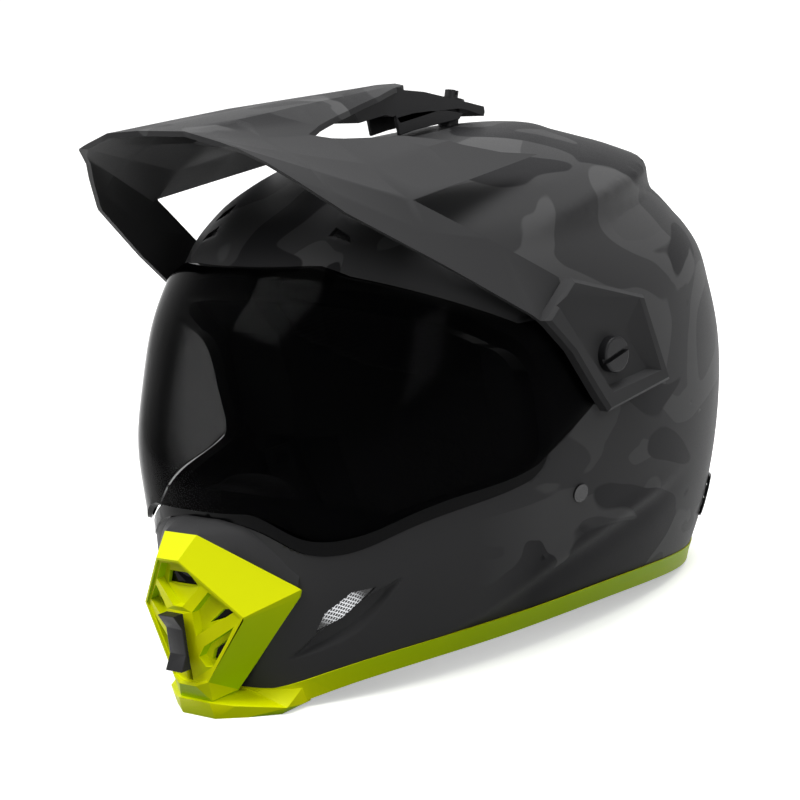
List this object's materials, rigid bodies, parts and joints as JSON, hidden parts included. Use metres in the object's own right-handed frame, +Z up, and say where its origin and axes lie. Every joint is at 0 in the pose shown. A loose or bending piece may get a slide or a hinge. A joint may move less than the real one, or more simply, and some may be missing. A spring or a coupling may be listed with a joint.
{
  "type": "dual sport helmet",
  "caption": "Full-face riding helmet with a tilting peak on two side screws and a crown bracket, a hinged smoked shield, a sliding chin vent, foam liner, pads and a double-ring strap.",
  "frame": {"origin": "on the floor plane that the base trim rests on, under the middle of the helmet's length and width", "axes": "+Z up to the crown, -Y forward as the wearer looks, +X towards the wearer's left"},
  "size_m": [0.283, 0.3944, 0.304],
  "materials": {
    "peak_grey": "matte dark grey",
    "shell": "matte grey camouflage",
    "accent": "satin fluorescent yellow-green",
    "rubber_black": "matte",
    "smoked_lens": "gloss, smoked",
    "black_plastic": "satin",
    "brass_insert": "machined",
    "black_mesh": "matte",
    "silver_mesh": "woven",
    "foam_black": "beaded foam",
    "slip_yellow": "smooth sheet",
    "cloth": "brushed mesh cloth",
    "webbing": "woven webbing",
    "rivet": "satin black",
    "steel": "polished"
  },
  "bodies": {
    "shell": {"outer_shell": "shell", "base_trim": "accent", "eyeport_gasket": "rubber_black", "pivot_plate_left": "black_plastic", "pivot_plate_right": "black_plastic", "side_insert_left": "brass_insert", "side_insert_right": "brass_insert", "top_insert": "black_plastic", "chin_vent_housing": "accent", "chin_vent_mesh": "black_mesh", "side_vent_mesh_left": "silver_mesh", "side_vent_mesh_right": "silver_mesh", "brow_vent_mesh": "black_mesh", "rear_vent_left": "black_plastic", "rear_vent_right": "black_plastic", "impact_liner": "foam_black", "slip_liner": "slip_yellow", "crown_pad": "cloth", "cheek_pad_left": "cloth", "cheek_pad_right": "cloth", "neck_roll": "cloth", "chin_bar_liner": "foam_black", "breath_guard": "rubber_black", "chin_strap_left": "webbing", "chin_strap_right": "webbing", "strap_rivet_left": "rivet", "strap_rivet_right": "rivet"},
    "shield": {"face_shield": "smoked_lens"},
    "peak": {"peak_shell": "peak_grey", "peak_bracket": "black_plastic"},
    "side_screw_left": {"side_screw_left": "black_plastic"},
    "side_screw_right": {"side_screw_right": "black_plastic"},
    "top_screw": {"top_screw": "black_plastic"},
    "vent_slider": {"chin_slider": "black_plastic", "chin_shutter": "black_plastic"},
    "d_ring_inner": {"d_ring_inner": "steel"},
    "d_ring_outer": {"d_ring_outer": "steel"}
  },
  "joints": [
    {"name": "shield_hinge", "type": "hinge", "parent": "shell", "child": "shield", "pos_m": [0, 0.01297, 0.1545], "axis": [-1, 0, 0], "range_deg": [0, 36]},
    {"name": "peak_tilt", "type": "hinge", "parent": "shell", "child": "peak", "pos_m": [0, 0.01297, 0.1545], "axis": [-1, 0, 0], "range_deg": [-4, 4]},
    {"name": "side_screw_left_turn", "type": "hinge", "parent": "shell", "child": "side_screw_left", "pos_m": [0.136, 0.01297, 0.1545], "axis": [1, 0, 0], "continuous": true},
    {"name": "side_screw_right_turn", "type": "hinge", "parent": "shell", "child": "side_screw_right", "pos_m": [-0.136, 0.01297, 0.1545], "axis": [-1, 0, 0], "continuous": true},
    {"name": "top_screw_turn", "type": "hinge", "parent": "shell", "child": "top_screw", "pos_m": [0, 0.05581, 0.27893], "axis": [0, 0.3256, 0.9455], "continuous": true},
    {"name": "chin_vent_slide", "type": "slide", "parent": "shell", "child": "vent_slider", "axis": [0, 0, -1], "range_m": [0, 0.007]},
    {"name": "d_ring_inner_swing", "type": "hinge", "parent": "shell", "child": "d_ring_inner", "pos_m": [0.0858, -0.00553, 0.032], "axis": [0, 1, 0], "range_deg": [0, 70]},
    {"name": "d_ring_outer_swing", "type": "hinge", "parent": "shell", "child": "d_ring_outer", "pos_m": [0.089, -0.00553, 0.032], "axis": [0, 1, 0], "range_deg": [-10, 0]}
  ]
}
